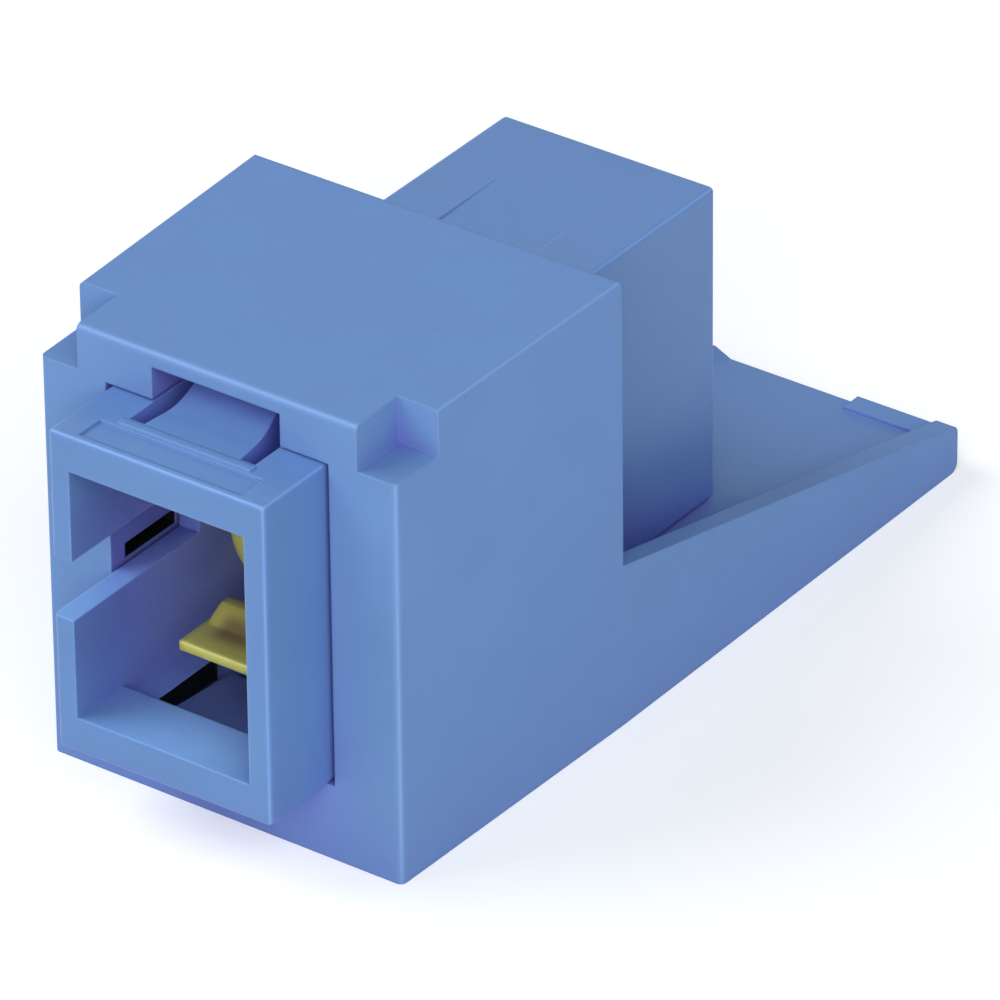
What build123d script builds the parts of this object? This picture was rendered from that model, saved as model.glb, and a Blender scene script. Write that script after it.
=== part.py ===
# SC simplex fibre adapter in a snap-in module carrier, millimetres.
# X runs across the module, Y from the front socket to the rear, Z up. The module stands on
# its flat base, with the origin under the middle of its outline. The optical axis runs
# along Y, and the adapter is built about the plane where its two halves meet.
from build123d import *
import os

os.makedirs("parts", exist_ok=True)

# Module as a whole
carrier_length = 34.3  # carrier's front plane to the end of its tail
snout_reach = 3.5  # adapter in front of the carrier's front plane
axis_height = 9.6  # optical axis over the base

# Carrier block: it grows a little towards the rear, as the mould's draft
front_width = 15.3
front_height = 18.05
rear_width = 15.96
rear_height = 18.3
block_depth = 12.9
edge_round = 0.25
corner_notch_width = 1.65
corner_notch_depth = 2.4
corner_notch_height = 1.8

# Window that the adapter passes, and the slots that its tongues snap into
window_side_gap = 0.17
window_top_gap = 0.07
collar_gap = 0.1
catch_slot_width = 5.5
catch_slot_rise = 1.37  # over the adapter's top
catch_slot_depth = 2.9
core_width = 1.0  # pockets that thin the block's side walls, open to the rear
core_skin = 1.05
core_margin = 2.2  # solid wall over and under each pocket
core_depth = 8.2
side_slot_height = 0.6  # slot in the window's left wall, seen through the key slot
side_slot_length = 2.9
side_slot_start = 0.8  # behind the front plane
side_slot_drop = 0.7  # its middle under the optical axis
side_slot_depth = 2.0

# Tail: a tray with two sloped side walls, an end lip, and a web thinned from below
wall_root_height = 6.64
wall_tip_height = 1.93
tail_wall = 0.8
tip_round = 0.4
ramp_start_gap = 0.6  # level floor behind the adapter's rear end
tip_floor = 1.33
lip_height = 0.33
lip_thickness = 0.9
lip_gap_right = 3.35
lip_step_run = 0.18
lip_gap_left = 2.2
lip_slope = 0.7
tail_web = 1.6
tail_rim = 1.5  # solid rim round the underside's pockets
web_rib = 1.0

# Adapter body
body_width = 9.25
body_height = 12.93
adapter_length = 26.9
body_round = 0.2
collar_lip = 0.47  # collar over the body, all round
collar_thickness = 0.75  # of each half
socket_width = 7.52
socket_height = 10.03
mouth_depth = 2.6
arm_room_height = 11.1  # room for the latch arms to spread
key_slot_width = 2.4
key_slot_rise = 0.15  # its middle over the optical axis
key_slot_length = 7.2

# Marking field and lip on the front half's top, and its snap tongues, one on top and one below
field_width = 7.0
field_depth = 0.1
field_start = 0.3
field_length = 1.2
brow_start = 1.65
brow_width = 5.7
brow_length = 0.34
brow_height = 0.07
tongue_start = 2.15  # behind the mouth
tongue_length = 3.95
tongue_root_width = 4.1
tongue_end_width = 3.2
tongue_rise = 0.74
tongue_flat = 1.05  # level stretch before the rise
tongue_ramp = 2.0
tongue_well_width = 5.4
tongue_end_gap = 0.45

# Channel on the rear half's top
channel_width = 4.2
channel_depth = 0.14  # at the collar: it runs out towards the rear
channel_length = 9.1

# Latch holders: flange plate, sleeve barrel and two latch arms, one moulding each
flange_gap = 0.05
flange_thickness = 1.5
flange_step = 0.35  # flange over the arm room, all round
barrel_length = 6.65
barrel_wall = 0.4
barrel_mouth_bore = 2.9
barrel_chamfer = 0.15
arm_reach = 10.05
arm_width = 3.6
arm_thickness = 0.75
arm_offset = 3.1  # optical axis to the arm's inner face
hook_offset = 2.38  # optical axis to the hook's crest
hook_crest = 0.45
hook_back = 0.4
hook_start = 6.9  # middle plane to the back of the hook
hook_ramp = 0.85
hook_round = 0.2
tip_thickness = 0.38
tip_offset = 2.86
tip_length = 1.45
arm_root = 0.3  # bevel where the arm leaves the flange
peg_diameter = 0.9
peg_length = 0.6
peg_gap = 0.06
peg_edge = 1.15  # flange edge to peg middle

# Split sleeve
ferrule_bore = 2.5
sleeve_wall = 0.35
sleeve_length = 11.4
sleeve_gap = 0.05
sleeve_slit = 0.5
sleeve_chamfer = 0.08

# Stations along Y and sizes that follow
snout_y = -(snout_reach+carrier_length)/2
face_y = snout_y+snout_reach
block_y = face_y+block_depth
tail_y = face_y+carrier_length
half_length = adapter_length/2
middle_y = snout_y+half_length
adapter_end_y = snout_y+adapter_length
body_bottom = axis_height-body_height/2
collar_width = body_width+2*collar_lip
collar_height = body_height+2*collar_lip
window_width = body_width+2*window_side_gap
window_height = body_height+2*window_top_gap
window_bottom = body_bottom-window_top_gap
flange_width = socket_width+2*flange_step
flange_height = arm_room_height+2*flange_step
sleeve_outer = ferrule_bore+2*sleeve_wall
barrel_bore = sleeve_outer+2*sleeve_gap
barrel_outer = barrel_bore+2*barrel_wall
adapter_place = Location((0, middle_y, axis_height))


def across(y):
    """Plane across the module at a station: sketches read X and Z, the normal is -Y."""
    return Plane.XZ.offset(-y)


def socket_half():
    """Half of the adapter body, about the optical axis, in front of the middle plane."""
    with BuildPart() as half:
        with BuildSketch(Plane.XZ):
            Rectangle(body_width, body_height)
        extrude(amount=half_length)
        fillet(half.edges().filter_by(Axis.Y), body_round)
        fillet(half.faces().sort_by(Axis.Y)[0].edges(), body_round)
        with BuildSketch(Plane.XZ):
            RectangleRounded(collar_width, collar_height, body_round)
        extrude(amount=collar_thickness)
        with BuildSketch(Plane.XZ):
            Rectangle(flange_width+2*flange_gap, flange_height+2*flange_gap)
        extrude(amount=flange_thickness, mode=Mode.SUBTRACT)
        with BuildSketch(Plane.XZ):
            Rectangle(socket_width, arm_room_height)
        extrude(amount=half_length-mouth_depth, mode=Mode.SUBTRACT)
        with BuildSketch(Plane.XZ):
            Rectangle(socket_width, socket_height)
        extrude(amount=half_length, mode=Mode.SUBTRACT)
        # key slot through the left wall, open at the mouth
        with BuildSketch(Plane.XZ.offset(half_length-key_slot_length)):
            with Locations((-body_width/2, key_slot_rise)):
                Rectangle(body_width/2, key_slot_width, align=(Align.MIN, Align.CENTER))
        extrude(amount=key_slot_length, mode=Mode.SUBTRACT)
    return half.part


def snap_tongue():
    """Tapered finger in the front half's top wall that rises into the carrier's slot."""
    top = body_height/2
    under = arm_room_height/2
    start = -half_length+tongue_start
    rise_at = start+tongue_flat
    crest_at = rise_at+tongue_ramp
    end = start+tongue_length
    with BuildPart() as tongue:
        with BuildSketch(Plane.YZ):
            with BuildLine():
                Polyline((rise_at, top), (start, top), (start, under), (end, under), (end, top+tongue_rise),
                         (crest_at, top+tongue_rise))
                Spline((rise_at, top), (crest_at, top+tongue_rise), tangents=((1, 0), (1, 0.2)))
            make_face()
        extrude(amount=tongue_root_width/2, both=True)
        with BuildSketch(Plane.XY.offset(under)):
            with BuildLine():
                Polyline((-tongue_root_width/2, start), (tongue_root_width/2, start),
                         (tongue_end_width/2, end), (-tongue_end_width/2, end), close=True)
            make_face()
        extrude(amount=top+tongue_rise-under, mode=Mode.INTERSECT)
    return tongue.part


def latch_holder():
    """Flange, barrel and latch arms about the optical axis, in front of the middle plane."""
    outer = arm_offset+arm_thickness
    root_end = flange_thickness+arm_root
    hook_peak = hook_start+hook_back
    ramp_at = hook_peak+hook_crest
    tip_at = ramp_at+hook_ramp
    peg_x = flange_width/2-peg_edge
    peg_z = flange_height/2-peg_edge
    with BuildPart() as holder:
        with BuildSketch(Plane.XZ):
            Rectangle(flange_width, flange_height)
        extrude(amount=flange_thickness)
        with BuildSketch(Plane.XZ):
            Circle(barrel_outer/2)
        extrude(amount=barrel_length)
        # upper arm in side view: root, inner face, hook, thin tip, outer face
        with BuildSketch(Plane.YZ) as arm:
            with BuildLine():
                Polyline((-flange_thickness, outer+arm_root), (-flange_thickness, arm_offset-arm_root),
                         (-root_end, arm_offset), (-hook_start, arm_offset), (-hook_peak, hook_offset),
                         (-ramp_at, hook_offset), (-tip_at, tip_offset), (-arm_reach, tip_offset),
                         (-arm_reach, tip_offset+tip_thickness), (-arm_reach+tip_length, outer),
                         (-root_end, outer), close=True)
            make_face()
            fillet(arm.vertices().group_by(Axis.Y)[0], hook_round)
        extrude(amount=arm_width/2, both=True)
        mirror(about=Plane.XY)
        with BuildSketch(Plane.XZ):
            Circle(barrel_bore/2)
        extrude(amount=sleeve_length/2+sleeve_gap, mode=Mode.SUBTRACT)
        with BuildSketch(Plane.XZ):
            Circle(barrel_mouth_bore/2)
        extrude(amount=barrel_length, mode=Mode.SUBTRACT)
        barrel_rim = holder.edges().filter_by(GeomType.CIRCLE).group_by(Axis.Y)[0]
        chamfer(barrel_rim, barrel_chamfer)
        # two pegs on one side of the flange's back, two holes on the other
        with BuildSketch(Plane.XZ.offset(-peg_length)):
            with Locations((peg_x, peg_z), (peg_x, -peg_z)):
                Circle(peg_diameter/2)
        extrude(amount=peg_length)
        with BuildSketch(Plane.XZ):
            with Locations((-peg_x, peg_z), (-peg_x, -peg_z)):
                Circle(peg_diameter/2+peg_gap)
        extrude(amount=peg_length+peg_gap, mode=Mode.SUBTRACT)
    return holder.part


# Module carrier
tail_inner_width = rear_width-2*tail_wall
ramp_y = adapter_end_y+ramp_start_gap
core_x = rear_width/2-core_skin-core_width/2
core_bottom = window_bottom+core_margin
pocket_width = (rear_width-2*tail_rim-web_rib)/2
pocket_x = (pocket_width+web_rib)/2
pocket_top = window_bottom-tail_web
ramp_fall = (window_bottom-tip_floor)/(tail_y-ramp_y)

with BuildPart() as module_carrier:
    # drafted block
    with BuildSketch(across(face_y)):
        Rectangle(front_width, front_height, align=(Align.CENTER, Align.MIN))
    with BuildSketch(across(block_y)):
        Rectangle(rear_width, rear_height, align=(Align.CENTER, Align.MIN))
    loft()
    front_corners = module_carrier.faces().sort_by(Axis.Y)[0].edges().filter_by(Axis.Z)
    fillet(module_carrier.faces().sort_by(Axis.Z)[-1].edges()+front_corners, edge_round)
    # wedge of the tail, seen from the side
    with BuildSketch(Plane.YZ) as wedge:
        with BuildLine():
            Polyline((block_y, 0), (tail_y, 0), (tail_y, wall_tip_height), (block_y, wall_root_height),
                     close=True)
        make_face()
        fillet(wedge.vertices().group_by(Axis.X)[-1], tip_round)
    extrude(amount=rear_width/2, both=True)
    # tray between the side walls: level under the adapter, then a ramp down to the end
    with BuildSketch(Plane.YZ):
        with BuildLine():
            Polyline((block_y, window_bottom), (ramp_y, window_bottom), (tail_y, tip_floor),
                     (tail_y, wall_root_height), (block_y, wall_root_height), close=True)
        make_face()
    extrude(amount=tail_inner_width/2, both=True, mode=Mode.SUBTRACT)
    # lip across the tail's end, with a gap between two slopes
    with BuildSketch(across(tail_y)):
        with BuildLine():
            Polyline((-tail_inner_width/2, tip_floor/2), (tail_inner_width/2, tip_floor/2),
                     (tail_inner_width/2, tip_floor+lip_height),
                     (lip_gap_right+lip_step_run, tip_floor+lip_height),
                     (lip_gap_right, tip_floor), (-lip_gap_left, tip_floor),
                     (-lip_gap_left-lip_slope, tip_floor+lip_height),
                     (-tail_inner_width/2, tip_floor+lip_height), close=True)
        make_face()
    extrude(amount=lip_thickness)
    # window, and the wider seat behind it for the adapter's collar
    with BuildSketch(across(face_y)):
        with Locations((0, window_bottom)):
            Rectangle(window_width, window_height, align=(Align.CENTER, Align.MIN))
    extrude(amount=-block_depth, mode=Mode.SUBTRACT)
    with BuildSketch(across(middle_y-collar_thickness)):
        with Locations((0, axis_height)):
            Rectangle(collar_width+2*collar_gap, collar_height+2*collar_gap)
    extrude(amount=-(block_y-middle_y+collar_thickness), mode=Mode.SUBTRACT)
    # slots over and under the window for the tongues
    with BuildSketch(across(face_y)):
        with Locations((0, axis_height)):
            Rectangle(catch_slot_width, body_height+2*catch_slot_rise)
    extrude(amount=-catch_slot_depth, mode=Mode.SUBTRACT)
    # slot in the window's left wall
    with BuildSketch(Plane.YZ.offset(-window_width/2)):
        with Locations((face_y+side_slot_start+side_slot_length/2, axis_height-side_slot_drop)):
            Rectangle(side_slot_length, side_slot_height)
    extrude(amount=-side_slot_depth, mode=Mode.SUBTRACT)
    # pockets in the side walls, open to the rear
    with BuildSketch(across(block_y)):
        with Locations((core_x, core_bottom), (-core_x, core_bottom)):
            Rectangle(core_width, rear_height-core_margin-core_bottom, align=(Align.CENTER, Align.MIN))
    extrude(amount=core_depth, mode=Mode.SUBTRACT)
    # two pockets under the tail that leave an even web below the tray, and a rib between them
    with BuildSketch(Plane.YZ) as under_tail:
        with BuildLine():
            Polyline((block_y+tail_rim, 0), (block_y+tail_rim, pocket_top), (ramp_y, pocket_top),
                     (ramp_y+pocket_top/ramp_fall, 0), close=True)
        make_face()
    for side in (-1, 1):
        extrude(under_tail.sketch.moved(Location((side*pocket_x, 0, 0))), amount=pocket_width/2,
                dir=(1, 0, 0), both=True, mode=Mode.SUBTRACT)
    # notches in the two top front corners
    with BuildSketch(across(face_y)):
        with Locations((front_width/2-corner_notch_width, front_height-corner_notch_height),
                       (-front_width/2+corner_notch_width-rear_width, front_height-corner_notch_height)):
            Rectangle(rear_width, rear_height, align=(Align.MIN, Align.MIN))
    extrude(amount=-corner_notch_depth, mode=Mode.SUBTRACT)

module_carrier.part.label = "module_carrier"
export_step(module_carrier.part, "parts/module_carrier.step")

# Front half of the adapter body
with BuildPart() as front_housing:
    add(socket_half())
    mouth_y = -half_length
    top_z = body_height/2
    with BuildSketch(Plane.XY.offset(top_z)):
        with Locations((0, mouth_y+field_start+field_length/2)):
            Rectangle(field_width, field_length)
    extrude(amount=-field_depth, mode=Mode.SUBTRACT)
    with BuildSketch(Plane.XY.offset(top_z)):
        with Locations((0, mouth_y+brow_start+brow_length/2)):
            Rectangle(brow_width, brow_length)
    extrude(amount=brow_height)
    # a well through the top wall and one through the bottom wall, each with a tongue in it
    well_length = tongue_length+tongue_end_gap
    for turn in (0, 180):
        with BuildSketch(Plane.XY.rotated((0, turn, 0)).offset(arm_room_height/2)):
            with Locations((0, mouth_y+tongue_start+well_length/2)):
                Rectangle(tongue_well_width, well_length)
        extrude(amount=top_z-arm_room_height/2, mode=Mode.SUBTRACT)
        add(snap_tongue(), rotation=(0, turn, 0))
front_housing.part.locate(adapter_place)
front_housing.part.label = "front_housing"
export_step(front_housing.part, "parts/front_housing.step")

# Rear half of the adapter body
with BuildPart() as rear_housing:
    add(socket_half())
    with BuildSketch(Plane.YZ):
        with BuildLine():
            Polyline((-collar_thickness, body_height/2), (-collar_thickness-channel_length, body_height/2),
                     (-collar_thickness, body_height/2-channel_depth), close=True)
        make_face()
    extrude(amount=channel_width/2, both=True, mode=Mode.SUBTRACT)
    mirror(about=Plane.XZ, mode=Mode.REPLACE)
rear_housing.part.locate(adapter_place)
rear_housing.part.label = "rear_housing"
export_step(rear_housing.part, "parts/rear_housing.step")

# Latch holders, back to back
with BuildPart() as front_latch_holder:
    add(latch_holder())
front_latch_holder.part.locate(adapter_place)
front_latch_holder.part.label = "front_latch_holder"
export_step(front_latch_holder.part, "parts/front_latch_holder.step")

with BuildPart() as rear_latch_holder:
    add(latch_holder())
rear_latch_holder.part.locate(adapter_place*Rotation(0, 0, 180))
rear_latch_holder.part.label = "rear_latch_holder"
export_step(rear_latch_holder.part, "parts/rear_latch_holder.step")

# Split sleeve
with BuildPart() as split_sleeve:
    with BuildSketch(across(middle_y+sleeve_length/2)):
        with Locations((0, axis_height)):
            Circle(sleeve_outer/2)
            Circle(ferrule_bore/2, mode=Mode.SUBTRACT)
        with Locations((sleeve_outer/2, axis_height)):
            Rectangle(sleeve_outer, sleeve_slit, mode=Mode.SUBTRACT)
    extrude(amount=sleeve_length)
    chamfer(split_sleeve.edges().filter_by(GeomType.CIRCLE), sleeve_chamfer)
split_sleeve.part.label = "split_sleeve"
export_step(split_sleeve.part, "parts/split_sleeve.step")
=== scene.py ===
import math

import bmesh
import bpy
from bpy.props import FloatProperty, FloatVectorProperty, PointerProperty
from bpy.types import Operator, Panel, PropertyGroup
from mathutils import Euler, Matrix, Vector


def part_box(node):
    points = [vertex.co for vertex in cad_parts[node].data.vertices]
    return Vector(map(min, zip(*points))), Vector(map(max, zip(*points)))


bl_info = {
    "name": "Fibre adapter module",
    "version": (1, 0, 0),
    "blender": (4, 5, 0),
    "location": "View3D > Sidebar > Fibre Adapter",
    "description": "Moulded plastic, amber and ceramic finishes and a studio stage for the adapter",
    "category": "Object",
}

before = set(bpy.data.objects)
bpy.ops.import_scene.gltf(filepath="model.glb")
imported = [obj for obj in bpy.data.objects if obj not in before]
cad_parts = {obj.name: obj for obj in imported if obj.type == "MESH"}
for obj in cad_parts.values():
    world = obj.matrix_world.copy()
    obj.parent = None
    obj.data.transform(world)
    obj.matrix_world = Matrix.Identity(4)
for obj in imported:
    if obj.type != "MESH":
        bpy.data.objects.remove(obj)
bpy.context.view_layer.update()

# Stations: the socket's mouth, the plane where the body's halves meet, the carrier's front and
# the height of the optical axis
housing_low, housing_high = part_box("front_housing")
MOUTH_Y = housing_low.y
MIDDLE_Y = housing_high.y
FACE_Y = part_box("module_carrier")[0].y
AXIS_Z = (housing_low.z+housing_high.z)/2

# Well of the lower tongue: its ends, its depth, the tops of its side walls and of the tongue,
# and the thin layer of each side wall that gets painted shade
WELL_START_Y = MOUTH_Y+0.0021
WELL_END_Y = MOUTH_Y+0.0066
WELL_BOTTOM_Z = AXIS_Z-0.0066
WELL_TOP_Z = AXIS_Z-0.00556
TONGUE_TOP_Z = AXIS_Z-0.00552
WELL_INNER_X = 0.0026
WELL_OUTER_X = 0.0028

# Boxes painted near black as shade, where light hardly reaches: two opposite corners, and the share of black
# that they get.
# The slot lies in the window's left wall.
WINDOW_SLOT = ((-0.0071, FACE_Y+0.0001, AXIS_Z-0.0011), (-0.00483, FACE_Y+0.0044, AXIS_Z-0.0003), 1.0)
LEFT_WELL_WALL = ((-WELL_OUTER_X, WELL_START_Y, WELL_BOTTOM_Z), (-WELL_INNER_X, WELL_END_Y, WELL_TOP_Z), 1.0)
RIGHT_WELL_WALL = ((WELL_INNER_X, WELL_START_Y, WELL_BOTTOM_Z), (WELL_OUTER_X, WELL_END_Y, WELL_TOP_Z), 1.0)
LOWER_TONGUE = ((-WELL_INNER_X, WELL_START_Y, WELL_BOTTOM_Z), (WELL_INNER_X, WELL_END_Y, TONGUE_TOP_Z), 0.5)
NEAR_BLACK = (0.006, 0.008, 0.007)

# Painted brown shade in the core of a latch arm's hook: where it starts and ends along Y, counted from the
# middle plane, where it ends to each side, and the share of brown in it
CORE_START = (0.0078, 0.0084)
CORE_END = (0.0088, 0.0096)
CORE_SIDE = (0.0007, 0.0014)
CORE_SHARE = 0.75

# Where an effect starts and where it is full. A turn is 1 less its cosine. A closed share
# runs from 0 in the open to 1 deep inside, and a recess is the closed share of far walls only.
EDGE_TURN = (0.01, 0.22)
FILLET_TURN = (0.08, 0.25)
FACING_UP = (0.3, 0.9)
SILL_RECESS = (0.12, 0.25)
JAMB_RECESS = (0.35, 0.48)
HOLLOW_CLOSED = (0.50, 0.82)
DEEP_CLOSED = (0.82, 0.93)
SLOT_CLOSED = (0.40, 0.70)
EDGE_CLOSED = (0.40, 0.75)
SPECK_LEVEL = (0.66, 0.80)

# The pigment's unevenness: contrast of its patches and specks, spread of its colour, and the
# trace of both in roughness and relief
CLOUD_CONTRAST = 0.9
SPECK_CONTRAST = 0.22
SPECKS_PER_CLOUD = 9
PIGMENT_SPREAD = 0.07
CLOUD_ROUGHNESS = 0.10
EDGE_POLISH = 0.06
CLOUD_RELIEF = 0.8
MOULD_RELIEF = 0.7

# The ceramic's patches, and the waver and trace of its grinding lines. A wave texture of
# scale 1 turns 20 radians in a metre.
PATCH_SHARE = 0.5
PATCH_SHADE = 0.9
GRIND_WAVER = 4.0
GRIND_ROUGHNESS = 0.06
GRIND_RELIEF = 0.3
WAVE_TURN = 20

# Rays that a point sends out to find edges and walls near it
FEELERS = 6

# Each lamp's turn from the front towards the right and its height, in degrees, and its colour
LAMPS = {
    "key": (36, 31, (1.0, 0.98, 0.94)),
    "low": (15, 12, (1.0, 1.0, 0.8)),
    "left": (-60, 45, (0.92, 0.95, 1.0)),
    "right": (75, 38, (0.86, 0.9, 1.0)),
}


class Wire:
    """A shader socket in a Python expression: each operator adds its Math node."""

    def __init__(self, tree, socket):
        self.tree = tree
        self.socket = socket

    @classmethod
    def add(cls, tree, kind, settings=None, sockets=None, output=0):
        """Adds any other node: its settings first, then the values or links of its sockets."""
        node = tree.nodes.new(kind)
        for name, value in (settings or {}).items():
            setattr(node, name, value)
        for name, value in (sockets or {}).items():
            if isinstance(value, Wire):
                tree.links.new(value.socket, node.inputs[name])
            else:
                node.inputs[name].default_value = value
        return cls(tree, node.outputs[output])

    def maths(self, operation, first, second):
        return Wire.add(self.tree, "ShaderNodeMath", {"operation": operation}, {0: first, 1: second})

    def larger(self, other):
        return self.maths("MAXIMUM", self, other)

    def part(self, axis):
        """One part of a vector: 0 is X, 1 is Y and 2 is Z."""
        return Wire.add(self.tree, "ShaderNodeSeparateXYZ", sockets={"Vector": self}, output=axis)

    def __abs__(self):
        return Wire.add(self.tree, "ShaderNodeMath", {"operation": "ABSOLUTE"}, {0: self})

    def __add__(self, other):
        return self.maths("ADD", self, other)

    def __radd__(self, other):
        return self.maths("ADD", other, self)

    def __sub__(self, other):
        return self.maths("SUBTRACT", self, other)

    def __rsub__(self, other):
        return self.maths("SUBTRACT", other, self)

    def __mul__(self, other):
        return self.maths("MULTIPLY", self, other)

    def __gt__(self, other):
        return self.maths("GREATER_THAN", self, other)

    def __lt__(self, other):
        return self.maths("LESS_THAN", self, other)


class MouldedSizes:
    """Sizes that every moulded finish shares."""

    grain_size: FloatProperty(
        name="Grain size", description="Width of the spark-eroded grain of the mould",
        default=0.00009, unit="LENGTH")
    grain_depth: FloatProperty(
        name="Grain depth", description="Height of that grain", default=0.000003, unit="LENGTH")
    cloud_size: FloatProperty(
        name="Cloud size", description="Width of the soft patches where the pigment is uneven",
        default=0.0035, unit="LENGTH")
    edge_radius: FloatProperty(
        name="Edge radius", description="Rounding that the light sees on every edge",
        default=0.0001, unit="LENGTH")
    # Share of the painted highlight on edges and fillets
    edge_highlight_share: FloatProperty(
        name="Edge share", description="How much of the edge colour shows", default=0.8, min=0, max=1)
    fillet_share: FloatProperty(
        name="Fillet share", description="How much of it shows on round edges", default=1.0,
        min=0, max=1)
    # Painted light deep inside, used by the housings: a paler violet for light that seeps through the walls
    deep_glow_and_shade_colour: FloatVectorProperty(
        name="Deep colour", description="Colour deep inside, where light seeps through the walls",
        subtype="COLOR", size=3, default=(0.420, 0.480, 1.000))
    # Reach of the closed share that places the painted shade and light inside hollows
    hollow_reach: FloatProperty(
        name="Hollow reach", description="How near other walls are where a hollow deepens the colour",
        default=0.010, unit="LENGTH")
    slot_reach: FloatProperty(
        name="Slot reach", description="How near walls are in a slot or a corner",
        default=0.003, unit="LENGTH")


class CarrierFinish(MouldedSizes, PropertyGroup):
    """Matt blue of the carrier."""

    colour: FloatVectorProperty(
        name="Colour", description="Violet blue of the carrier", subtype="COLOR", size=3,
        default=(0.139, 0.254, 0.518))
    # Painted highlight: paler blue along the carrier's edges, where their rounding catches light
    edge_highlight_colour: FloatVectorProperty(
        name="Edge colour", description="Paler blue where edges are polished by handling",
        subtype="COLOR", size=3, default=(0.200, 0.335, 0.640))
    # Painted shade: violet in the carrier's hollows
    hollow_shade_colour: FloatVectorProperty(
        name="Hollow colour", description="Violet that the blue deepens to in hollows",
        subtype="COLOR", size=3, default=(0.145, 0.155, 0.530))
    # Painted shade deep inside the carrier
    deep_glow_and_shade_colour: FloatVectorProperty(
        name="Deep colour", description="Colour deep inside", subtype="COLOR", size=3,
        default=(0.145, 0.155, 0.530))
    roughness: FloatProperty(
        name="Roughness", description="Roughness of the matt moulding", default=0.52, min=0, max=1)


class HousingFinish(MouldedSizes, PropertyGroup):
    """Satin blue of the adapter's two housings."""

    colour: FloatVectorProperty(
        name="Colour", description="Sky blue of the housings", subtype="COLOR", size=3,
        default=(0.114, 0.224, 0.476))
    # Painted highlight: paler blue along the housings' edges, where their rounding catches light
    edge_highlight_colour: FloatVectorProperty(
        name="Edge colour", description="Paler blue where edges are polished by handling",
        subtype="COLOR", size=3, default=(0.187, 0.335, 0.690))
    # Painted shade: violet in the housings' hollows
    hollow_shade_colour: FloatVectorProperty(
        name="Hollow colour", description="Violet that the blue deepens to in hollows",
        subtype="COLOR", size=3, default=(0.122, 0.166, 0.560))
    # Painted light: paler floor just inside the socket's mouth
    sill_light_colour: FloatVectorProperty(
        name="Sill colour", description="Paler blue of the floor just inside the socket's mouth",
        subtype="COLOR", size=3, default=(0.215, 0.415, 0.760))
    # Painted shade: deeper walls just inside the socket's mouth
    jamb_shade_colour: FloatVectorProperty(
        name="Jamb colour", description="Deeper blue of the walls just inside the socket's mouth",
        subtype="COLOR", size=3, default=(0.106, 0.155, 0.405))
    roughness: FloatProperty(
        name="Roughness", description="Roughness of the satin moulding", default=0.36, min=0, max=1)
    scatter_depth: FloatProperty(
        name="Scatter depth", description="How far light spreads inside the plastic",
        default=0.0008, unit="LENGTH")


class HolderFinish(MouldedSizes, PropertyGroup):
    """Translucent amber of the latch holders."""

    colour: FloatVectorProperty(
        name="Colour", description="Amber of the resin", subtype="COLOR", size=3,
        default=(0.66, 0.64, 0.13))
    # Painted highlight: bright yellow glow along the resin's edges
    edge_highlight_colour: FloatVectorProperty(
        name="Edge colour", description="Bright yellow where thin edges gather light",
        subtype="COLOR", size=3, default=(1.00, 0.98, 0.36))
    # Painted shade: olive in the holders' hollows
    hollow_shade_colour: FloatVectorProperty(
        name="Hollow colour", description="Olive that the amber deepens to in hollows",
        subtype="COLOR", size=3, default=(0.50, 0.46, 0.14))
    # Painted shade: brown deep inside the holders
    deep_glow_and_shade_colour: FloatVectorProperty(
        name="Deep colour", description="Brown deep inside", subtype="COLOR", size=3,
        default=(0.30, 0.20, 0.10))
    # Painted shade: brown of the dark inside seen through the hooks
    core_shade_colour: FloatVectorProperty(
        name="Core colour", description="Brown of the thick resin in the hooks", subtype="COLOR",
        size=3, default=(0.20, 0.11, 0.07))
    fillet_share: FloatProperty(
        name="Fillet share", description="How much of the edge colour shows on round edges",
        default=0.0, min=0, max=1)
    edge_radius: FloatProperty(
        name="Edge radius", description="Width of the glow along the resin's edges",
        default=0.0003, unit="LENGTH")
    roughness: FloatProperty(
        name="Roughness", description="Roughness of the polished mould", default=0.10, min=0, max=1)
    scatter_depth: FloatProperty(
        name="Scatter depth", description="How far light spreads inside the resin",
        default=0.0006, unit="LENGTH")


class SleeveFinish(PropertyGroup):
    """Polished ceramic of the split sleeve."""

    colour: FloatVectorProperty(
        name="Colour", description="Warm white of the ceramic", subtype="COLOR", size=3,
        default=(0.80, 0.79, 0.75))
    roughness: FloatProperty(
        name="Roughness", description="Roughness of the polished ceramic", default=0.14, min=0, max=1)
    grind_size: FloatProperty(
        name="Grinding line spacing", description="From one line that grinding leaves to the next",
        default=0.000314159, unit="LENGTH")
    grind_depth: FloatProperty(
        name="Grinding line depth", description="Depth of those lines", default=0.0000025,
        unit="LENGTH")
    cloud_size: FloatProperty(
        name="Cloud size", description="Width of the slightly darker patches", default=0.0012,
        unit="LENGTH")


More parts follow.
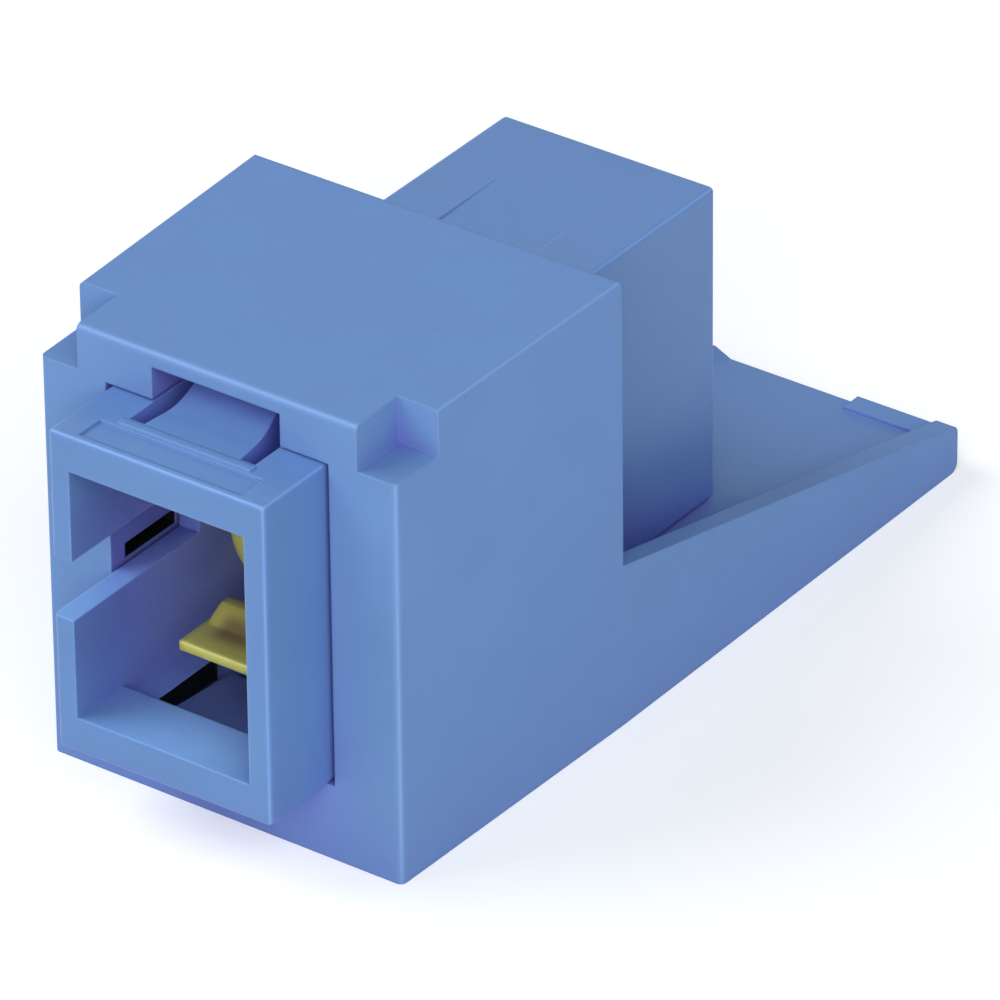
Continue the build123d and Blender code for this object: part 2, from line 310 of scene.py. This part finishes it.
class StageSettings(PropertyGroup):
    """Camera, lamps and floor."""

    azimuth: FloatProperty(
        name="Camera azimuth", description="Turn of the view from the front towards the right",
        default=math.radians(36.06), subtype="ANGLE")
    elevation: FloatProperty(
        name="Camera elevation", description="Height of the view over the floor",
        default=math.radians(31.33), subtype="ANGLE")
    roll: FloatProperty(
        name="Camera roll", description="Turn of the frame about the line of sight",
        default=math.radians(-0.60), subtype="ANGLE")
    distance: FloatProperty(
        name="Camera distance", description="From the lens to the point it looks at",
        default=0.3696, unit="LENGTH")
    lens: FloatProperty(
        name="Lens", description="Focal length in millimetres", default=378.8)
    film_width: FloatProperty(
        name="Film width", description="Width of the frame behind the lens, in millimetres",
        default=36)
    aim: FloatVectorProperty(
        name="Camera aim", description="Point in the middle of the frame", subtype="XYZ", size=3,
        default=(0.00448, -0.00504, 0.00943), unit="LENGTH")
    floor_size: FloatProperty(
        name="Floor size", description="Width of the floor", default=3.0, unit="LENGTH")
    floor_colour: FloatVectorProperty(
        name="Floor colour", description="Pale paper under the object", subtype="COLOR", size=3,
        default=(0.80, 0.80, 0.80))
    floor_glow: FloatProperty(
        name="Floor glow", description="Brightness added to the floor as the camera sees it",
        default=0.34, min=0)
    room_light: FloatProperty(
        name="Room light", description="Even light from all round", default=0.23, min=0)
    room_colour: FloatVectorProperty(
        name="Room colour", description="Cool white of the even light", subtype="COLOR", size=3,
        default=(0.84, 0.94, 1.00))
    softbox_size: FloatProperty(
        name="Softbox size", description="Width of every lamp", default=0.5, unit="LENGTH")
    softbox_distance: FloatProperty(
        name="Softbox distance", description="From every lamp to the camera's aim", default=0.6,
        unit="LENGTH")
    key_power: FloatProperty(
        name="Key power", description="Lamp at the camera", default=2.0, unit="POWER")
    low_power: FloatProperty(
        name="Low power", description="Lamp that lifts the faces near the floor", default=0.9,
        unit="POWER")
    left_power: FloatProperty(
        name="Left power", description="High lamp on the left", default=2.2, unit="POWER")
    right_power: FloatProperty(
        name="Right power", description="Lamp on the right", default=0.95, unit="POWER")


class AdapterSettings(PropertyGroup):
    """Everything that a user would change, piece by piece."""

    carrier: PointerProperty(type=CarrierFinish)
    housing: PointerProperty(type=HousingFinish)
    holder: PointerProperty(type=HolderFinish)
    sleeve: PointerProperty(type=SleeveFinish)
    stage: PointerProperty(type=StageSettings)


def new_finish(name, constants):
    """A material whose shader holds the given constants in its own sockets."""
    material = bpy.data.materials.new(name)
    material.use_nodes = True
    tree = material.node_tree
    shader = tree.nodes["Principled BSDF"]
    for socket, value in constants.items():
        shader.inputs[socket].default_value = value
    return material, tree, shader


def join(tree, shader, colour, roughness, bump):
    """Feeds the shader what changes over a surface."""
    tree.links.new(colour.socket, shader.inputs["Base Color"])
    tree.links.new(roughness.socket, shader.inputs["Roughness"])
    tree.links.new(bump.socket, shader.inputs["Normal"])


def dress(node, material):
    """Gives a node of the frame its material."""
    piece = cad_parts[node]
    piece.data.materials.clear()
    piece.data.materials.append(material)


def mix_colour(tree, factor, low, high):
    """Mixes two colours, each a triple or a wire."""
    def value(colour):
        return colour if isinstance(colour, Wire) else (*colour, 1.0)
    return Wire.add(tree, "ShaderNodeMix", {"data_type": "RGBA"},
                    {0: factor, 6: value(low), 7: value(high)}, output=2)


def place_in_object(tree):
    """Coordinates in metres that stay with the piece."""
    return Wire.add(tree, "ShaderNodeTexCoord", output=3)


def noise(tree, place, size, detail=2.0, roughness=0.5):
    """Soft noise between 0 and 1 whose patches are about the given size across."""
    return Wire.add(tree, "ShaderNodeTexNoise", {"noise_dimensions": "3D"},
                    {"Vector": place, "Scale": 1/size, "Detail": detail, "Roughness": roughness})


def between(wire, low, high):
    """Stretches the wire's values from low to high over 0 to 1, and stops at both ends."""
    return Wire.add(wire.tree, "ShaderNodeMapRange", {"interpolation_type": "SMOOTHSTEP"},
                    {"Value": wire, "From Min": low, "From Max": high})


def off_axis(direction):
    """How far a direction lies from the nearest of the three axes: 1 less its largest part."""
    x, y, z = (abs(direction.part(axis)) for axis in range(3))
    return 1-x.larger(y).larger(z)


def rounded_normal(tree, radius, fillet_share):
    """Normal of the surface with its edges rounded, and how near an edge or fillet is, from 0 to 1."""
    soft = Wire.add(tree, "ShaderNodeBevel", {"samples": FEELERS}, {"Radius": radius})
    flat = Wire.add(tree, "ShaderNodeNewGeometry", output=3)
    agreement = Wire.add(tree, "ShaderNodeVectorMath", {"operation": "DOT_PRODUCT"},
                         {0: soft, 1: flat}, output=1)
    fillet = between(off_axis(soft), *FILLET_TURN)*fillet_share
    return soft, fillet.larger(between(1-agreement, *EDGE_TURN))


def closed_in(tree, reach):
    """Share of a point's view that walls within the reach close off."""
    return 1-Wire.add(tree, "ShaderNodeAmbientOcclusion", {"samples": FEELERS}, {"Distance": reach},
                      output=1)


def inside_box(place, corners):
    """1 between two opposite corners of a box, in metres, and 0 outside it."""
    inside = 1.0
    for axis, (low, high) in enumerate(zip(*corners)):
        along = place.part(axis)
        inside = (along > low)*(high > along)*inside
    return inside


def mouth_light_and_shade(tree, look, body, recess):
    """Paints shade on the walls and light on the floor just inside the mouth of a recess."""
    true_normal = Wire.add(tree, "ShaderNodeNewGeometry", output=3)
    faces_up = between(true_normal.part(2), *FACING_UP)
    floor = mix_colour(tree, between(recess, *SILL_RECESS)*faces_up, body, look.sill_light_colour)
    return mix_colour(tree, between(recess, *JAMB_RECESS)*(1-faces_up), floor, look.jamb_shade_colour)


def hook_core_shade(tree, look, colour):
    """Paints brown shade in the middle of each latch arm's hook, where the dark inside shows through the
    thickest resin.
    """
    place = place_in_object(tree)
    across = place.part(0)
    reach = abs(place.part(1)-MIDDLE_Y)
    side = between(across*across, *(x**2 for x in CORE_SIDE))
    hook = between(reach, *CORE_START)*(1-between(reach, *CORE_END))
    return mix_colour(tree, hook*(1-side)*CORE_SHARE, colour, look.core_shade_colour)


def pigment(tree, look, place, cloud):
    """The moulding's own blue or amber, in uneven patches with darker specks."""
    speck = between(noise(tree, place, look.cloud_size/SPECKS_PER_CLOUD, detail=1.0), *SPECK_LEVEL)
    shade = 0.5+(cloud-0.5)*CLOUD_CONTRAST-speck*SPECK_CONTRAST
    return mix_colour(tree, shade, [c*(1-PIGMENT_SPREAD) for c in look.colour],
                      [c*(1+PIGMENT_SPREAD) for c in look.colour])


def moulded(name, look, constants, painted_shade_boxes=(), mouth=None, core=None):
    """Pigmented moulding: uneven pigment and grain of the mould, with painted highlights on edges, painted
    shade in hollows and boxes, and painted light deep inside the housings.
    """
    material, tree, shader = new_finish(name, constants)
    place = place_in_object(tree)
    soft, edge = rounded_normal(tree, look.edge_radius, look.fillet_share)
    cloud = noise(tree, place, look.cloud_size, detail=3.0)
    grain = noise(tree, place, look.grain_size, detail=3.0, roughness=0.6)
    body = pigment(tree, look, place, cloud)
    closed = closed_in(tree, look.hollow_reach)
    slot = closed_in(tree, look.slot_reach)
    # Painted light on the floor and painted shade on the walls just inside the socket's mouth
    if mouth:
        body = mouth(tree, look, body, closed-slot)
    # Painted shade: the colour deepens to violet or olive where walls close in
    hollow = mix_colour(tree, between(closed, *HOLLOW_CLOSED), body, look.hollow_shade_colour)
    # Deep inside, painted light on the housings and painted shade on the carrier and holders, left out in
    # narrow slots
    painted_deep_mask = between(closed, *DEEP_CLOSED)*(1-between(slot, *SLOT_CLOSED))
    deep = mix_colour(tree, painted_deep_mask, hollow, look.deep_glow_and_shade_colour)
    # Painted highlight on open edges and fillets, faded out in hollows
    painted_highlight_mask = edge*(1-between(closed, *EDGE_CLOSED))
    colour = mix_colour(tree, painted_highlight_mask*look.edge_highlight_share, deep, look.edge_highlight_colour)
    # Painted shade in the middle of each hook
    if core:
        colour = core(tree, look, colour)
    # Painted shade: near black inside the given boxes, where light hardly reaches
    for *corners, share in painted_shade_boxes:
        colour = mix_colour(tree, inside_box(place, corners)*share, colour, NEAR_BLACK)
    bump = Wire.add(tree, "ShaderNodeBump", sockets={
        "Strength": MOULD_RELIEF, "Distance": look.grain_depth,
        "Height": grain+cloud*CLOUD_RELIEF, "Normal": soft})
    roughness = look.roughness+(cloud-0.5)*CLOUD_ROUGHNESS-edge*EDGE_POLISH
    join(tree, shader, colour, roughness, bump)
    return material


class FinishCarrier(Operator):
    """Give the module carrier its matt blue moulded finish"""

    bl_idname = "fibre_adapter.finish_carrier"
    bl_label = "Finish carrier"

    def execute(self, context):
        look = context.scene.fibre_adapter.carrier
        dress("module_carrier", moulded("carrier_blue", look, {
            "IOR": 1.45, "Specular IOR Level": 0.12}, painted_shade_boxes=[WINDOW_SLOT]))
        return {"FINISHED"}


class FinishHousings(Operator):
    """Give both halves of the adapter body their satin blue finish"""

    bl_idname = "fibre_adapter.finish_housings"
    bl_label = "Finish housings"

    def execute(self, context):
        look = context.scene.fibre_adapter.housing
        material = moulded("housing_blue", look, {
            "IOR": 1.5, "Specular IOR Level": 0.2, "Subsurface Weight": 0.25,
            "Subsurface Scale": look.scatter_depth, "Subsurface Radius": (0.7, 0.8, 1.0)},
            painted_shade_boxes=[LEFT_WELL_WALL, RIGHT_WELL_WALL, LOWER_TONGUE], mouth=mouth_light_and_shade)
        for node in ("front_housing", "rear_housing"):
            dress(node, material)
        return {"FINISHED"}


class FinishLatchHolders(Operator):
    """Give the latch holders their translucent amber finish"""

    bl_idname = "fibre_adapter.finish_latch_holders"
    bl_label = "Finish latch holders"

    def execute(self, context):
        look = context.scene.fibre_adapter.holder
        material = moulded("amber_resin", look, {
            "IOR": 1.5, "Transmission Weight": 0.2, "Subsurface Weight": 0.5,
            "Subsurface Scale": look.scatter_depth, "Subsurface Radius": (1.0, 0.75, 0.15)},
            core=hook_core_shade)
        for node in ("front_latch_holder", "rear_latch_holder"):
            dress(node, material)
        return {"FINISHED"}


class FinishSleeve(Operator):
    """Give the split sleeve its polished ceramic finish"""

    bl_idname = "fibre_adapter.finish_sleeve"
    bl_label = "Finish sleeve"

    def execute(self, context):
        look = context.scene.fibre_adapter.sleeve
        material, tree, shader = new_finish("sleeve_ceramic", {"IOR": 2.1})
        place = place_in_object(tree)
        rings = Wire.add(tree, "ShaderNodeTexWave", {"wave_type": "BANDS", "bands_direction": "Y"}, {
            "Vector": place, "Scale": math.tau/look.grind_size/WAVE_TURN,
            "Distortion": GRIND_WAVER, "Detail": 2.0}, output=1)
        cloud = noise(tree, place, look.cloud_size)
        colour = mix_colour(tree, cloud*PATCH_SHARE, look.colour, [c*PATCH_SHADE for c in look.colour])
        bump = Wire.add(tree, "ShaderNodeBump", sockets={
            "Strength": GRIND_RELIEF, "Distance": look.grind_depth, "Height": rings})
        join(tree, shader, colour, look.roughness+rings*GRIND_ROUGHNESS, bump)
        dress("split_sleeve", material)
        return {"FINISHED"}


def softbox(name, look, azimuth, elevation, power, colour):
    """An area lamp that looks at the camera's aim, from degrees round and over the floor."""
    turn = math.radians(azimuth)
    lift = math.radians(elevation)
    away = Vector((math.sin(turn)*math.cos(lift), -math.cos(turn)*math.cos(lift), math.sin(lift)))
    lamp = bpy.data.lights.new(name, "AREA")
    lamp.shape = "DISK"
    lamp.size = look.softbox_size
    lamp.energy = power
    lamp.color = colour
    holder = bpy.data.objects.new(name, lamp)
    holder.location = Vector(look.aim)+away*look.softbox_distance
    holder.rotation_euler = away.to_track_quat("Z", "Y").to_euler()
    bpy.context.scene.collection.objects.link(holder)


def seen_as(tree, seen, lighting):
    """One shader for camera, mirror and clear views, another for the light that falls on things."""
    rays = tree.nodes.new("ShaderNodeLightPath")
    straight = Wire(tree, rays.outputs["Is Camera Ray"])
    mirrored = Wire(tree, rays.outputs["Is Glossy Ray"])
    through = Wire(tree, rays.outputs["Is Transmission Ray"])
    return Wire.add(tree, "ShaderNodeMixShader",
                    sockets={0: (straight+mirrored+through) > 0.5, 1: lighting, 2: seen})


class BuildStage(Operator):
    """Set up the floor, the soft studio light and the camera"""

    bl_idname = "fibre_adapter.build_stage"
    bl_label = "Build stage"

    def execute(self, context):
        look = context.scene.fibre_adapter.stage
        self.add_floor(look)
        self.add_room(context.scene, look)
        self.add_lamps(look)
        self.add_camera(context.scene, look)
        context.scene.view_settings.view_transform = "Standard"
        return {"FINISHED"}

    def add_floor(self, look):
        mesh = bpy.data.meshes.new("floor")
        shape = bmesh.new()
        bmesh.ops.create_grid(shape, x_segments=1, y_segments=1, size=look.floor_size/2)
        shape.to_mesh(mesh)
        shape.free()
        floor = bpy.data.objects.new("floor", mesh)
        bpy.context.scene.collection.objects.link(floor)
        material, tree, shader = new_finish("floor_paper", {
            "Base Color": (*look.floor_colour, 1.0), "Roughness": 0.9, "Specular IOR Level": 0.0})
        lit = Wire(tree, shader.outputs[0])
        glow = Wire.add(tree, "ShaderNodeEmission", sockets={
            "Color": (1.0, 1.0, 1.0, 1.0), "Strength": look.floor_glow})
        seen = Wire.add(tree, "ShaderNodeAddShader", sockets={0: lit, 1: glow})
        surface = seen_as(tree, seen, lit)
        tree.links.new(surface.socket, tree.nodes["Material Output"].inputs["Surface"])
        mesh.materials.append(material)

    def add_room(self, scene, look):
        room = bpy.data.worlds.new("studio")
        scene.world = room
        room.use_nodes = True
        tree = room.node_tree
        lighting = Wire.add(tree, "ShaderNodeBackground", sockets={
            "Color": (*look.room_colour, 1.0), "Strength": look.room_light})
        seen = Wire.add(tree, "ShaderNodeBackground", sockets={
            "Color": (1.0, 1.0, 1.0, 1.0), "Strength": 1.0})
        surface = seen_as(tree, seen, lighting)
        tree.links.new(surface.socket, tree.nodes["World Output"].inputs["Surface"])

    def add_lamps(self, look):
        for name, (azimuth, elevation, colour) in LAMPS.items():
            softbox(name, look, azimuth, elevation, getattr(look, name+"_power"), colour)

    def add_camera(self, scene, look):
        back = Vector((math.sin(look.azimuth)*math.cos(look.elevation),
                       -math.cos(look.azimuth)*math.cos(look.elevation), math.sin(look.elevation)))
        upright = Euler((math.pi/2-look.elevation, 0.0, look.azimuth)).to_matrix()
        turned = upright @ Matrix.Rotation(look.roll, 3, "Z")
        lens = bpy.data.cameras.new("camera")
        lens.sensor_width = look.film_width
        lens.lens = look.lens
        lens.clip_start = 0.01
        lens.clip_end = 10
        camera = bpy.data.objects.new("camera", lens)
        camera.matrix_world = Matrix.Translation(Vector(look.aim)+back*look.distance) @ turned.to_4x4()
        scene.collection.objects.link(camera)
        scene.camera = camera


OPERATORS = (FinishCarrier, FinishHousings, FinishLatchHolders, FinishSleeve, BuildStage)


class AdapterPanel(Panel):
    """Lists the finishes and the stage in the 3D view's sidebar"""

    bl_idname = "VIEW3D_PT_fibre_adapter"
    bl_label = "Fibre Adapter"
    bl_space_type = "VIEW_3D"
    bl_region_type = "UI"
    bl_category = "Fibre Adapter"

    def draw(self, context):
        settings = context.scene.fibre_adapter
        groups = (settings.carrier, settings.housing, settings.holder, settings.sleeve, settings.stage)
        for operator, group in zip(OPERATORS, groups):
            box = self.layout.box()
            box.operator(operator.bl_idname)
            for name in group.bl_rna.properties.keys():
                if name not in ("rna_type", "name"):
                    box.prop(group, name)


CLASSES = (CarrierFinish, HousingFinish, HolderFinish, SleeveFinish, StageSettings, AdapterSettings,
           *OPERATORS, AdapterPanel)


def register():
    for cls in CLASSES:
        bpy.utils.register_class(cls)
    bpy.types.Scene.fibre_adapter = PointerProperty(type=AdapterSettings)


def unregister():
    del bpy.types.Scene.fibre_adapter
    for cls in reversed(CLASSES):
        bpy.utils.unregister_class(cls)


def main():
    register()
    bpy.ops.fibre_adapter.finish_carrier()
    bpy.ops.fibre_adapter.finish_housings()
    bpy.ops.fibre_adapter.finish_latch_holders()
    bpy.ops.fibre_adapter.finish_sleeve()
    bpy.ops.fibre_adapter.build_stage()


if __name__ == "__main__":
    main()
